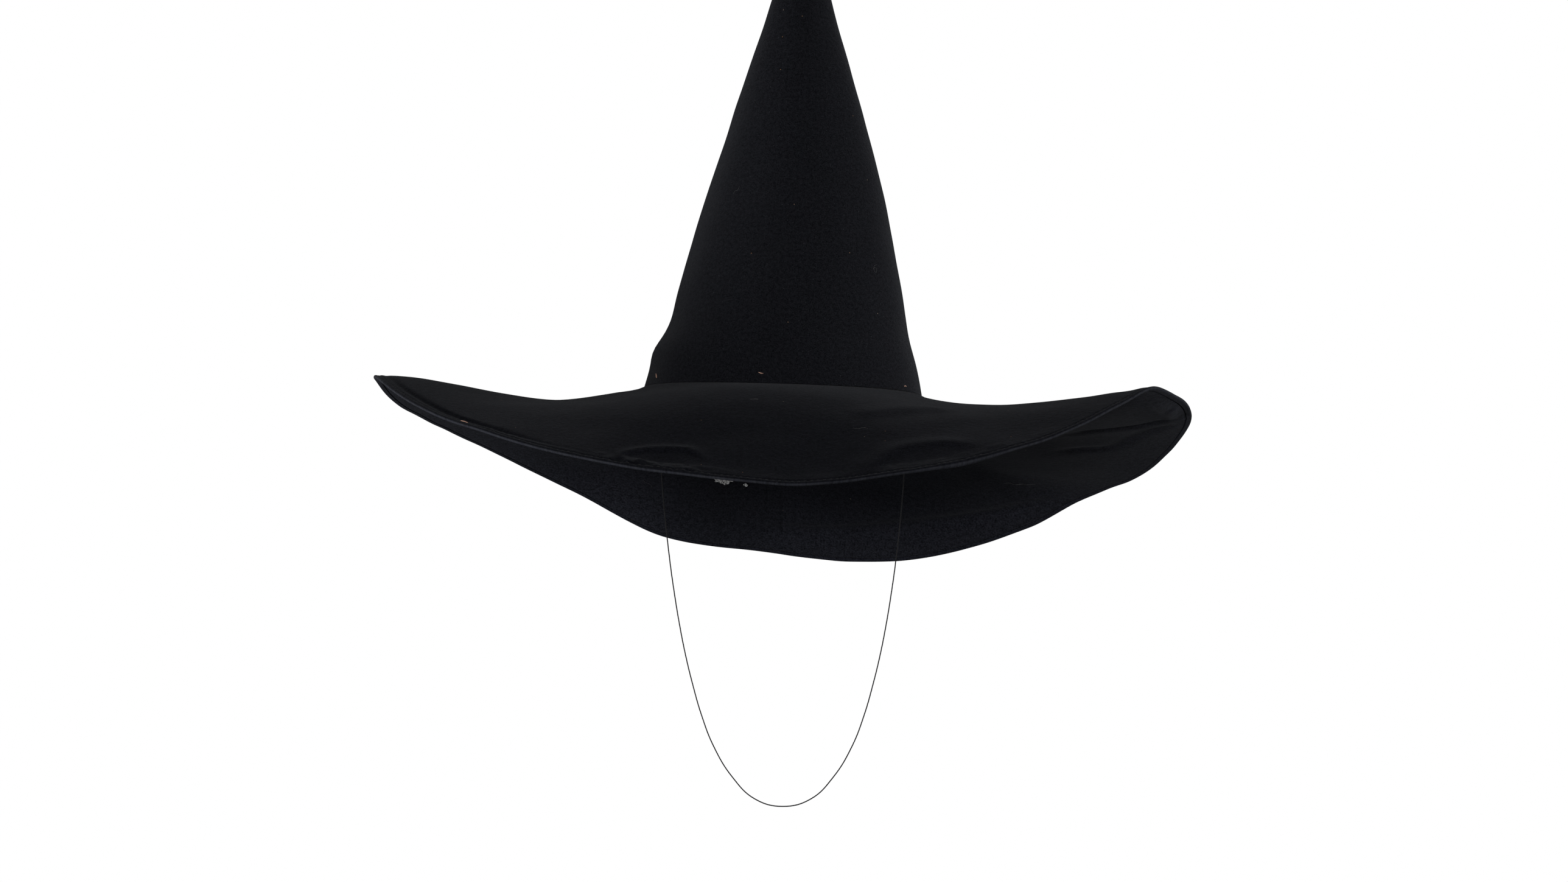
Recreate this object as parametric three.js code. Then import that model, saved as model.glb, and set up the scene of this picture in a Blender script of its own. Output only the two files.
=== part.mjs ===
// A pointed witch's hat: a cloth-covered crown on a wired saddle brim, with an elastic chin cord.
// Millimetres, +Z up, the front towards -Y. Left (-X) and right (+X) are as seen from the front.
// The origin is the middle of the head opening, level with the crown's foot.
import * as THREE from "three";

const MERIDIANS = 48;
const GAP = 0.3;

// Crown: radius and height of the outside of the cloth, from the foot to the point.
const CROWN_OUTLINE = [
  [95.8, 0],
  [91, 20],
  [83.4, 45],
  [72, 94],
  [58.8, 144],
  [44.2, 194],
  [29.3, 244],
  [14, 294],
  [0, 343],
];
const CROWN_FOOT_RADIUS = CROWN_OUTLINE[0][0];
const TIP_HEIGHT = CROWN_OUTLINE.at(-1)[1];
const TIP_HEIGHT_PER_RADIUS = 3.5;
const LEAN_PER_HEIGHT = 0.072;
const LEAN_EASE = 0.00008;
const CROWN_CLOTH = 1.4;
const CROWN_BUCKRAM = 1.2;
const CROWN_LINING = 0.6;

// Brim: width measured out from the crown's foot along the cloth, and its layers.
const BRIM_WIDTH = 184;
const HEADLINE_FLANGE = 3.4;
const BRIM_BUCKRAM = 0.6;
const TOP_CLOTH = 0.6;
const UNDER_CLOTH = 0.6;
const EDGE_WIRE_RADIUS = 0.4;
const HEM_WIDTH = 4;
const HEM_SWELL = 2.8;
const BRIM_RING_WIDTHS = [-HEADLINE_FLANGE, 0, 12, 40, 70, 100, 130, 155];
const FOOT_LEVEL = -2.75;
const FOOT_TILT = -3.1;
const FOOT_SADDLE = 1.25;

// How far the brim bows off the straight line from foot to rim: down at the sides, more on the
// right, up at the front and back, and most of it near the crown.
const BOW_MEAN = -2.75;
const BOW_SIDE = -2.5;
const BOW_SADDLE = -10.75;
const BOW_INWARD = 0.85;
const BOW_INWARD_SIDE = -0.45;

// How steeply the brim falls, in degrees, all the way round: 0 is the right, 90 the back and
// 270 the front in the view from the front. The brim lifts into an ear at 180 and at 329.
const BRIM_SLOPE = [
  [0, -5.5],
  [20, -13.6],
  [37, -18.5],
  [46, -24],
  [63, -31],
  [78, -32.5],
  [94, -29.6],
  [110, -26.4],
  [125, -15.9],
  [145, -6.3],
  [165, -1.2],
  [180, 2],
  [195, 0.5],
  [215, -8.6],
  [240, -18.5],
  [270, -24.6],
  [290, -20.7],
  [307, -14],
  [320, -6.3],
  [329, -1.9],
  [339, -3.2],
];

// Trim at the head opening.
const HEADLINE_WIRE_RADIUS = 0.6;
const SWEATBAND_THICKNESS = 0.8;
const SWEATBAND_HEIGHTS = [-2, 8, 18, 30];

// Chin cord: it hangs from a knot on each side of the sweatband.
const CORD_RADIUS = 0.5;
const KNOT_RADIUS = 2;
const KNOT_HEIGHT = 8;
const KNOT_REACH = 86.4;
const TACK_REACH = 87;
const TACK_SIZE = [1, 5, 1.2];
const CORD_STEPS = 72;

// Half of the hanging loop, as distance out from the middle and height, below the knot.
const CORD_HALF_ROUTE = [
  [85.8, -12],
  [85, -32],
  [83.4, -54],
  [80.9, -84],
  [77.2, -117],
  [74.2, -138],
  [70.7, -159],
  [66.5, -180],
  [61.6, -200],
  [55.5, -221],
  [47.3, -242],
  [34.5, -263],
  [19, -278],
];
const CORD_LOWEST = -283;

const finishes = {
  crownCloth: { color: 0x111215, roughness: 0.95, metalness: 0 },
  brimCloth: { color: 0x131417, roughness: 0.95, metalness: 0 },
  underCloth: { color: 0x0c0d0f, roughness: 0.97, metalness: 0 },
  buckram: { color: 0x2a2a2c, roughness: 0.9, metalness: 0 },
  lining: { color: 0x101013, roughness: 0.6, metalness: 0 },
  ribbon: { color: 0x17171a, roughness: 0.7, metalness: 0 },
  wire: { color: 0x8c8f94, roughness: 0.4, metalness: 1 },
  elastic: { color: 0x1d1d1f, roughness: 0.8, metalness: 0 },
};

const hat = new THREE.Group();

function addPiece(name, geometry, finish) {
  const mesh = new THREE.Mesh(geometry, new THREE.MeshStandardMaterial(finish));
  mesh.name = name;
  hat.add(mesh);
  return mesh;
}

// A cubic curve through [angle, value] points that closes on itself after a full turn.
function curveAround(points) {
  const knot = (i) => {
    const turns = Math.floor(i / points.length);
    const [angle, value] = points[i - turns * points.length];
    return { angle: angle + 360 * turns, value };
  };
  const tangent = (i) => {
    const before = knot(i - 1);
    const after = knot(i + 1);
    return (after.value - before.value) / (after.angle - before.angle);
  };
  return (angle) => {
    const wrapped = THREE.MathUtils.euclideanModulo(angle, 360);
    const i = points.findLastIndex(([start]) => start <= wrapped);
    const from = knot(i);
    const to = knot(i + 1);
    const span = to.angle - from.angle;
    const u = (wrapped - from.angle) / span;
    const value = (2 * u ** 3 - 3 * u ** 2 + 1) * from.value + (3 * u ** 2 - 2 * u ** 3) * to.value;
    const pull = (u ** 3 - 2 * u ** 2 + u) * tangent(i) + (u ** 3 - u ** 2) * tangent(i + 1);
    return value + pull * span;
  };
}

const brimSlope = curveAround(BRIM_SLOPE);

// The foot of the crown is lower at the right, and bent into a slight saddle like the brim.
function footHeight(phi) {
  return FOOT_LEVEL + FOOT_TILT * Math.cos(phi) + FOOT_SADDLE * Math.cos(2 * phi);
}

// Outside radius of the crown cloth at a height.
function crownRadius(z) {
  const upper = CROWN_OUTLINE.findIndex(([, height], i) => i > 0 && height >= z);
  const [r0, z0] = CROWN_OUTLINE[upper - 1];
  const [r1, z1] = CROWN_OUTLINE[upper];
  return r0 + ((r1 - r0) * (z - z0)) / (z1 - z0);
}

// A point of the crown wall: the cone leans to the right as it rises, on a tilted foot.
function placeOnCrown(r, z, phi) {
  const lean = Math.max(z, 0) * (LEAN_PER_HEIGHT - LEAN_EASE * Math.max(z, 0));
  const settle = 1 - THREE.MathUtils.smoothstep(z, 0, CROWN_OUTLINE[3][1]);
  return new THREE.Vector3(
    lean + r * Math.cos(phi),
    r * Math.sin(phi),
    z + footHeight(phi) * settle,
  );
}

// A point of the brim, at a radius on the flat pattern and a distance above its middle layer.
function placeOnBrim(r, above, phi) {
  const s = Math.max((r - CROWN_FOOT_RADIUS) / BRIM_WIDTH, 0);
  const flange = Math.min(r - CROWN_FOOT_RADIUS, 0);
  const fall = THREE.MathUtils.degToRad(brimSlope(THREE.MathUtils.radToDeg(phi)));
  const bow = 4 * (BOW_MEAN + BOW_SIDE * Math.cos(phi) + BOW_SADDLE * Math.cos(2 * phi));
  const inward = BOW_INWARD + BOW_INWARD_SIDE * Math.cos(phi);
  const side = 1 - 2 * s;
  const along = s * BRIM_WIDTH;
  const rise = bow * s * (1 - s) * (1 + inward * side);
  const steepness = (bow * (side * (1 + inward * side) - 2 * inward * s * (1 - s))) / BRIM_WIDTH;
  const tilt = (fall + Math.atan(steepness)) * Math.min(s * 10, 1);
  const out = CROWN_FOOT_RADIUS + flange + along * Math.cos(fall) - rise * Math.sin(fall);
  const up = footHeight(phi) + along * Math.sin(fall) + rise * Math.cos(fall);
  const reach = out - above * Math.sin(tilt);
  return new THREE.Vector3(reach * Math.cos(phi), reach * Math.sin(phi), up + above * Math.cos(tilt));
}

// Splits each quad of a turned section by the same diagonal, whichever way its profile runs, so
// that two layers with a common face stay parallel where the brim twists.
function matchDiagonals(geometry, section) {
  const index = [];
  for (let i = 0; i < MERIDIANS; i += 1) {
    for (let j = 0; j < section.length - 1; j += 1) {
      const a = j + i * section.length;
      const b = a + section.length;
      const inward = section[j + 1][0] < section[j][0];
      const faces = inward ? [a, b, b + 1, a, b + 1, a + 1] : [a, b, a + 1, b + 1, a + 1, b];
      index.push(...faces);
    }
  }
  geometry.setIndex(index);
}

// Turns a closed [radius, height] section once round and places every point on the hat.
function turned(section, place) {
  const profile = section.map(([r, z]) => new THREE.Vector2(r, z));
  const geometry = new THREE.LatheGeometry(profile, MERIDIANS).rotateX(Math.PI / 2);
  matchDiagonals(geometry, section);
  const position = geometry.attributes.position;
  const point = new THREE.Vector3();
  for (let i = 0; i < position.count; i += 1) {
    point.fromBufferAttribute(position, i);
    const placed = place(Math.hypot(point.x, point.y), point.z, Math.atan2(point.y, point.x));
    position.setXYZ(i, placed.x, placed.y, placed.z);
  }
  geometry.computeVertexNormals();
  return geometry;
}

function closed(section) {
  return [...section, section[0]];
}

// One layer of the crown between two depths below the outside of the cloth.
function crownLayer(outerDepth, thickness, foot) {
  const surface = (depth) => [
    [crownRadius(foot) - depth, foot],
    ...CROWN_OUTLINE.slice(1, -1).map(([r, z]) => [r - depth, z]),
    [0, TIP_HEIGHT - depth * TIP_HEIGHT_PER_RADIUS],
  ];
  return turned([...surface(outerDepth + thickness).reverse(), ...surface(outerDepth)], placeOnCrown);
}

// A flat layer of the brim, with a ring of points at every radius.
function brimLayer(rings, low, high) {
  const under = rings.map((r) => [r, low]);
  const over = rings.map((r) => [r, high]).reverse();
  return turned(closed([...under, ...over]), placeOnBrim);
}

function arc(centre, radius, fromAngle, toAngle, steps) {
  return Array.from({ length: steps + 1 }, (_, i) => {
    const angle = THREE.MathUtils.lerp(fromAngle, toAngle, i / steps);
    return [centre + radius * Math.cos(angle), radius * Math.sin(angle)];
  });
}

const rimRadius = CROWN_FOOT_RADIUS + BRIM_WIDTH;
const foldInside = EDGE_WIRE_RADIUS + GAP;
const foldOutside = foldInside + TOP_CLOTH;
const wireRing = rimRadius - foldOutside;
const clothBottom = BRIM_BUCKRAM / 2 + GAP;
const clothTop = clothBottom + TOP_CLOTH;
const swellStart = rimRadius - HEM_SWELL;
const hemEnd = rimRadius - HEM_WIDTH;
const brimRings = BRIM_RING_WIDTHS.map((width) => CROWN_FOOT_RADIUS + width);

// The top cloth runs out over the buckram, folds round the edge wire and turns under as the hem.
function topCloth() {
  const sheetRings = [...brimRings, hemEnd, swellStart];
  const inner = sheetRings.map((r) => [r, clothBottom]);
  const outer = sheetRings.map((r) => [r, clothTop]).reverse();
  return turned(
    closed([
      ...inner,
      ...arc(wireRing, foldInside, Math.PI / 2, -Math.PI / 2, 4),
      [swellStart, -clothBottom],
      [hemEnd, -clothBottom],
      [hemEnd, -clothTop],
      [swellStart, -clothTop],
      ...arc(wireRing, foldOutside, -Math.PI / 2, Math.PI / 2, 6),
      ...outer,
    ]),
    placeOnBrim,
  );
}

// Part of the brim's edge line, straight from each meridian to the next.
class EdgeLine extends THREE.Curve {
  constructor(fromMeridian, toMeridian) {
    super();
    this.fromMeridian = fromMeridian;
    this.toMeridian = toMeridian;
  }

  getPoint(t) {
    const onMeridian = (m) => placeOnBrim(wireRing, 0, (m * 2 * Math.PI) / MERIDIANS);
    const meridian = THREE.MathUtils.lerp(this.fromMeridian, this.toMeridian, t);
    const before = Math.min(Math.floor(meridian), Math.ceil(this.toMeridian) - 1);
    return onMeridian(before).lerp(onMeridian(before + 1), meridian - before);
  }

  getPointAt(t) {
    return this.getPoint(t);
  }
}

function roundSection(radius, sides) {
  const corners = Array.from({ length: sides }, (_, i) => {
    const angle = (i * 2 * Math.PI) / sides;
    return new THREE.Vector2(radius * Math.cos(angle), radius * Math.sin(angle));
  });
  return new THREE.Shape(corners);
}

function tube(path, radius, sides, steps) {
  const options = { steps, bevelEnabled: false, extrudePath: path, curveSegments: 1 };
  return new THREE.ExtrudeGeometry(roundSection(radius, sides), options);
}

// The wire goes once round from the joiner at the back; the joiner is one facet long.
const JOINER_MERIDIAN = MERIDIANS / 4;
const JOINER_MARGIN = 0.1;
const WIRE_SIDES = 6;

function edgeWire() {
  const path = new EdgeLine(JOINER_MERIDIAN + 1, JOINER_MERIDIAN + MERIDIANS);
  return tube(path, EDGE_WIRE_RADIUS, WIRE_SIDES, MERIDIANS - 1);
}

function edgeWireJoiner() {
  const path = new EdgeLine(JOINER_MERIDIAN + JOINER_MARGIN, JOINER_MERIDIAN + 1 - JOINER_MARGIN);
  return tube(path, EDGE_WIRE_RADIUS, WIRE_SIDES, 1);
}

function headlineWire(radius, height) {
  const section = Array.from({ length: WIRE_SIDES }, (_, i) => {
    const angle = (i * 2 * Math.PI) / WIRE_SIDES;
    return [radius + HEADLINE_WIRE_RADIUS * Math.cos(angle), height + HEADLINE_WIRE_RADIUS * Math.sin(angle)];
  });
  return turned(closed(section), placeOnCrown);
}

function sweatband(outerDepth) {
  const face = (depth) => SWEATBAND_HEIGHTS.map((z) => [crownRadius(z) - depth, z]);
  const outside = face(outerDepth);
  const inside = face(outerDepth + SWEATBAND_THICKNESS).reverse();
  return turned(closed([...outside, ...inside]), placeOnCrown);
}

function chinCord() {
  const knotEnd = [KNOT_REACH, KNOT_HEIGHT - KNOT_RADIUS - GAP];
  const half = [knotEnd, ...CORD_HALF_ROUTE];
  const left = half.map(([x, z]) => new THREE.Vector3(-x, 0, z));
  const right = half.map(([x, z]) => new THREE.Vector3(x, 0, z)).reverse();
  const path = new THREE.CatmullRomCurve3([...left, new THREE.Vector3(0, 0, CORD_LOWEST), ...right]);
  return tube(path, CORD_RADIUS, 8, CORD_STEPS);
}

const clothFoot = clothTop + GAP;
const foundationDepth = CROWN_CLOTH + GAP;
const liningDepth = foundationDepth + CROWN_BUCKRAM + GAP;
const sweatbandDepth = liningDepth + CROWN_LINING + GAP;
const headlineWireHeight = clothFoot + HEADLINE_WIRE_RADIUS;
const foundationFoot = headlineWireHeight + HEADLINE_WIRE_RADIUS + GAP;

addPiece("crown_cloth", crownLayer(0, CROWN_CLOTH, clothFoot), finishes.crownCloth);
addPiece("crown_foundation", crownLayer(foundationDepth, CROWN_BUCKRAM, foundationFoot), finishes.buckram);
addPiece("crown_lining", crownLayer(liningDepth, CROWN_LINING, clothFoot), finishes.lining);
addPiece("sweatband", sweatband(sweatbandDepth), finishes.ribbon);
addPiece(
  "headline_wire",
  headlineWire(crownRadius(headlineWireHeight) - foundationDepth - HEADLINE_WIRE_RADIUS, headlineWireHeight),
  finishes.wire,
);
addPiece("brim_top_cloth", topCloth(), finishes.brimCloth);
addPiece(
  "brim_stiffener",
  brimLayer(
    [...brimRings, hemEnd, swellStart, wireRing - EDGE_WIRE_RADIUS - GAP],
    -BRIM_BUCKRAM / 2,
    BRIM_BUCKRAM / 2,
  ),
  finishes.buckram,
);
addPiece(
  "brim_under_cloth",
  brimLayer([...brimRings, hemEnd - GAP], -clothBottom - UNDER_CLOTH, -clothBottom),
  finishes.underCloth,
);
addPiece("brim_edge_wire", edgeWire(), finishes.wire);
addPiece("edge_wire_joiner", edgeWireJoiner(), finishes.wire);
addPiece("chin_cord", chinCord(), finishes.elastic);

for (const [side, name] of [[-1, "left"], [1, "right"]]) {
  const knot = addPiece(`cord_knot_${name}`, new THREE.SphereGeometry(KNOT_RADIUS, 12, 8), finishes.elastic);
  knot.position.set(side * KNOT_REACH, 0, KNOT_HEIGHT);
  const tack = addPiece(`knot_tack_${name}`, new THREE.BoxGeometry(...TACK_SIZE), finishes.elastic);
  tack.position.set(side * TACK_REACH, 0, KNOT_HEIGHT + KNOT_RADIUS + GAP + TACK_SIZE[2] / 2);
}

export default hat;
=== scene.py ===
"""A pointed witch's hat: black wool cloth over buckram, with a wired saddle brim and a thin chin elastic.

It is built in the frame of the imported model: metres, +Z up, the front towards -Y, and left and right
as seen from the front. Lengths are written in millimetres times MM, and angles round the hat in
degrees: 0 is the right, 90 the back, 180 the left and 270 the front.
"""
import math

import bmesh
import bpy
import numpy as np
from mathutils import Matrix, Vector, noise


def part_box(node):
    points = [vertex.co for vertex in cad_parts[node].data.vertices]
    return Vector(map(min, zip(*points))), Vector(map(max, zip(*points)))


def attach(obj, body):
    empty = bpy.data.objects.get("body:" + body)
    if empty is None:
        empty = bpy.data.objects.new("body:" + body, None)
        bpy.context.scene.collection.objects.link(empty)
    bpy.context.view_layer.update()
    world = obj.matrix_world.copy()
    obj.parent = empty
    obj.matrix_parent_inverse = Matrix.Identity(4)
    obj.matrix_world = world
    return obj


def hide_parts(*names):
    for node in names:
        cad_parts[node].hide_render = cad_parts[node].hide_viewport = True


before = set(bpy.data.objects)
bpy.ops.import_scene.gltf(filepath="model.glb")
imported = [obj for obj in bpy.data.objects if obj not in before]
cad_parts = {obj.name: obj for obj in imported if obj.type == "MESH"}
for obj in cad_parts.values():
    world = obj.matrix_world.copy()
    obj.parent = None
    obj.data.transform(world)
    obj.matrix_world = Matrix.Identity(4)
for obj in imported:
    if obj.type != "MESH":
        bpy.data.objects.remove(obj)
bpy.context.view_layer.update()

MM = 0.001
TURN = 2 * math.pi
FRONT = 270
BACK = 90

# The camera: a long lens a little lower than the brim.
LENS = 85
SENSOR_WIDTH = 36
CAMERA_TARGET = Vector((0.8, 0, -33.3)) * MM
CAMERA_DISTANCE = 2542 * MM
CAMERA_RISE = math.radians(4.5)

# The chin cord, from the knot on the left to the knot on the right.
CORD_RADIUS = 0.42 * MM
KNOT_REACH = 86.4 * MM
KNOT_HEIGHT = 8 * MM
KNOT_END = (86.4, 5.7)
CORD_HALF_ROUTE = [
    (85.8, -12), (85, -32), (83.4, -54), (80.9, -84), (77.2, -117), (74.2, -138), (70.7, -159),
    (66.5, -180), (61.6, -200), (55.5, -221), (47.3, -242), (34.5, -263), (19, -278),
]
CORD_LOWEST = (0, -283)

# The crown: radius and height of the outside of the cloth, from the foot to the point.
CROWN_OUTLINE = [
    (95.8, 0), (91, 20), (83.4, 45), (72, 94), (58.8, 144), (44.2, 194), (29.3, 244), (14, 294),
    (0, 343),
]
FOOT_RADIUS = 95.8 * MM
TIP_HEIGHT = 343 * MM
TIP_HEIGHT_PER_RADIUS = 3.5
TIP_ROUND = 9 * MM
LEAN_PER_HEIGHT = 0.072
LEAN_EASE = 0.00008 / MM
SETTLED_HEIGHT = 94 * MM
GAP = 0.3 * MM
CROWN_CLOTH = 1.4 * MM
CROWN_BUCKRAM = 1.2 * MM
CROWN_LINING = 0.6 * MM

# The brim: width measured out from the crown's foot along the cloth.
BRIM_WIDTH = 184 * MM
FLANGE = 3.4 * MM
BRIM_BUCKRAM = 0.6 * MM
TOP_CLOTH = 0.6 * MM
UNDER_CLOTH = 0.6 * MM
EDGE_WIRE_RADIUS = 0.4 * MM
HEM_WIDTH = 4 * MM
FOOT_LEVEL = -2.75 * MM
FOOT_TILT = -3.1 * MM
FOOT_SADDLE = 1.25 * MM
BOW_MEAN = -2.75 * MM
BOW_SIDE = -2.5 * MM
BOW_SADDLE = -10.75 * MM
BOW_INWARD = 0.85
BOW_INWARD_SIDE = -0.45
BRIM_SLOPE = [
    (0, -5.5), (20, -13.6), (37, -18.5), (46, -24), (63, -31), (78, -32.5), (94, -29.6),
    (110, -26.4), (125, -15.9), (145, -6.3), (165, -1.2), (180, 2), (195, 0.5), (215, -8.6),
    (240, -18.5), (270, -24.6), (290, -20.7), (307, -14), (320, -6.3), (329, -1.9), (339, -3.2),
]

# Soft folds that the whole brim has taken. A route is (angle, width) points on the flat ring; the
# fold stands up by height, or sinks where that is negative, and spreads to the left and to the right.
BRIM_FOLDS = {
    "front_left_arch": {
        "route": [(246.5, 183), (247, 166), (248.5, 157), (250.5, 151), (253.5, 148), (256, 149)]
        + [(259.5, 163)],
        "height": 1.5,
        "spread": (5, 2.4),
    },
    "front_right_arch": {
        "route": [(279.5, 181), (283.5, 164), (287, 151), (290.5, 147), (295.5, 150), (299.5, 171)],
        "height": 1.5,
        "spread": (10, 5),
    },
    "front_right_shoulder": {
        "route": [(283.5, 85), (290.5, 80), (298.5, 75), (305, 75), (306.5, 89)],
        "height": 1.4,
        "spread": (12, 7),
    },
    "right_ear_gather": {
        "route": [(358, 92), (356.5, 117), (356, 131), (355.5, 147), (354, 159), (352, 171), (351, 182)],
        "height": 2.2,
        "spread": (5, 6),
    },
    "right_ear_second_gather": {
        "route": [(12, 100), (9.5, 117), (8, 138), (3, 150), (359, 162), (356.5, 180)],
        "height": 1.7,
        "spread": (5, 6),
    },
    "back_crease": {
        "route": [(99, 164), (93, 160), (84.5, 154), (75.5, 149), (66, 146), (57.5, 149)]
        + [(50, 156), (41.5, 165), (36, 181)],
        "height": 2.7,
        "spread": (9, 5),
    },
    "left_hem_groove": {
        "route": [(184, 176), (198, 175.5), (212, 175.5), (222, 176), (238, 178)],
        "height": -1,
        "spread": (3.2, 3.2),
    },
    "right_ear_roll": {
        "route": [(344, 180), (344.5, 174), (348, 171), (352, 173), (354.5, 181)],
        "height": -2,
        "spread": (4, 4),
    },
}
BRIM_DENTS = {
    "inside_left_arch": {"at": (253, 170), "half_size": (20, 12), "depth": 1.5},
    "inside_right_arch": {"at": (290, 168), "half_size": (34, 13), "depth": 1.4},
}

# The right ear's rim curls up outside a shallow valley; the rear lifts and then drops to its rim.
EAR = 342
EAR_VALLEY = 341
EAR_SPREAD = 9
CURL_HEIGHT = 3.6 * MM
CURL_WIDTH = 15 * MM
VALLEY_DEPTH = 2 * MM
VALLEY_PLACE = BRIM_WIDTH - 17 * MM
VALLEY_WIDTH = 6 * MM
REAR = 85
REAR_LIFT = 2.4 * MM
REAR_DROP = 4 * MM
REAR_DROP_FROM = 153 * MM
REAR_DROP_REACH = 30 * MM
# The brim bulges beside the crown on the left.
LEFT = 180
SHOULDER_LIFT = 4.2 * MM
SHOULDER_SPREAD = 22
LONG_WAVE = 1.1 * MM
SHORT_WAVE = 0.35 * MM


def smoothstep(x, low, high):
    t = np.clip((x - low) / (high - low), 0, 1)
    return t * t * (3 - 2 * t)


def bump(x, centre, width):
    return np.exp(-(((x - centre) / width) ** 2))


def angle_from(degrees, centre):
    """Degrees round the hat from a centre, between -180 and 180."""
    return (np.asarray(degrees) - centre + 180) % 360 - 180


def near(degrees, centre, spread):
    """1 at an angle round the hat, and less on both sides of it."""
    return bump(angle_from(degrees, centre), 0, spread)


def back_seam(degrees, radius, half_width):
    return bump(angle_from(degrees, BACK) * np.radians(1) * radius, 0, half_width)


def cubic(u, start, end, start_pull, end_pull):
    blend = (2 * u**3 - 3 * u**2 + 1) * start + (3 * u**2 - 2 * u**3) * end
    return blend + (u**3 - 2 * u**2 + u) * start_pull + (u**3 - u**2) * end_pull


def curve_around(points):
    """A cubic curve through (angle, value) points that closes on itself after a full turn."""
    angles, values = np.array(points, float).T
    angles = np.concatenate([angles - 360, angles, angles + 360])
    values = np.tile(values, 3)
    tangents = np.gradient(values)
    tangents[1:-1] = (values[2:] - values[:-2]) / (angles[2:] - angles[:-2])

    def at(degrees):
        wrapped = np.mod(degrees, 360)
        i = np.searchsorted(angles, wrapped, side="right") - 1
        span = angles[i + 1] - angles[i]
        pulls = tangents[i] * span, tangents[i + 1] * span
        return cubic((wrapped - angles[i]) / span, values[i], values[i + 1], *pulls)

    return at


def curve_through(points, count):
    """A smooth open curve through points, as count points."""
    points = np.array(points, float)
    padded = np.vstack([2 * points[0] - points[1], points, 2 * points[-1] - points[-2]])
    t = np.linspace(0, len(points) - 1, count)
    i = np.minimum(t.astype(int), len(points) - 2)
    u = (t - i)[:, None]
    before, start, end, after = padded[i], padded[i + 1], padded[i + 2], padded[i + 3]
    return cubic(u, start, end, (end - before) / 2, (after - start) / 2)


brim_slope = curve_around(BRIM_SLOPE)
crown_line = curve_through(CROWN_OUTLINE, 400) * MM


def crown_radius(z):
    return np.interp(z, crown_line[:, 1], crown_line[:, 0])


def foot_height(phi):
    return FOOT_LEVEL + FOOT_TILT * np.cos(phi) + FOOT_SADDLE * np.cos(2 * phi)


def flat_ring(degrees, width):
    """Where a point of the brim lies on its flat ring, before the brim is bent."""
    return ring_cut(degrees, FOOT_RADIUS + width)


def fold_height(place, route, height, spread):
    """How high a fold stands at places on the flat ring. It fades out over its last fifth each way."""
    ways = np.array(route, float)
    line = curve_through(flat_ring(ways[:, 0], ways[:, 1] * MM), 60)
    best = np.full(place.shape[:-1], np.inf)
    side = np.zeros(place.shape[:-1])
    along = np.zeros(place.shape[:-1])
    direction = np.gradient(line, axis=0)
    direction /= np.linalg.norm(direction, axis=1)[:, None]
    for i, (start, way) in enumerate(zip(line, direction)):
        off = place - start
        far = np.hypot(off[..., 0], off[..., 1])
        nearer = far < best
        best = np.where(nearer, far, best)
        side = np.where(nearer, way[0] * off[..., 1] - way[1] * off[..., 0], side)
        along = np.where(nearer, i / (len(line) - 1), along)
    reach = np.where(side > 0, spread[0], spread[1]) * MM
    fade = smoothstep(along, -0.02, 0.2) * smoothstep(-along, -1.02, -0.8)
    return height * MM * np.exp(-((best / reach) ** 2)) * fade


def dent_height(place, at, half_size, depth):
    centre = flat_ring(at[0], at[1] * MM)
    outward = centre / np.linalg.norm(centre)
    off = place - centre
    across = off @ np.array([-outward[1], outward[0]]) / (half_size[0] * MM)
    out = off @ outward / (half_size[1] * MM)
    return -depth * MM * np.exp(-(across**2) - out**2)


def noise_at(points, scale, seed):
    """Smooth noise from -1 to 1 at points, in metres; scale is the size of its waves."""
    flat = points.reshape(-1, points.shape[-1]) / scale
    depth = np.zeros((len(flat), 3))
    depth[:, : flat.shape[1]] = flat
    depth[:, 2] += seed
    return np.array([noise.noise(p) for p in depth.tolist()]).reshape(points.shape[:-1])


def brim_relief(degrees, width):
    """How far the whole brim stands off its even saddle: folds, dents, the curled ear and slow waves."""
    place = flat_ring(degrees, width)
    height = sum(fold_height(place, **fold) for fold in BRIM_FOLDS.values())
    height += sum(dent_height(place, **dent) for dent in BRIM_DENTS.values())
    outer = smoothstep(width, 20 * MM, 150 * MM)
    height += noise_at(place, 60 * MM, 3.1) * LONG_WAVE * outer
    height += noise_at(place, 24 * MM, 8.7) * SHORT_WAVE * smoothstep(width, 5 * MM, 60 * MM)
    curl = smoothstep(width, BRIM_WIDTH - CURL_WIDTH, BRIM_WIDTH)
    height += CURL_HEIGHT * curl * near(degrees, EAR, EAR_SPREAD)
    valley = bump(width, VALLEY_PLACE, VALLEY_WIDTH)
    height -= VALLEY_DEPTH * valley * near(degrees, EAR_VALLEY, EAR_SPREAD)
    rear = smoothstep(-np.abs(angle_from(degrees, REAR)), -58, -40)
    height += REAR_LIFT * rear * smoothstep(width, 50 * MM, 145 * MM)
    shoulder = smoothstep(width, 3 * MM, 18 * MM) * bump(width, 30 * MM, 26 * MM)
    height += SHOULDER_LIFT * shoulder * near(degrees, LEFT, SHOULDER_SPREAD)
    height -= REAR_DROP * rear * np.maximum(width - REAR_DROP_FROM, 0) / REAR_DROP_REACH
    return height


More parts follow.
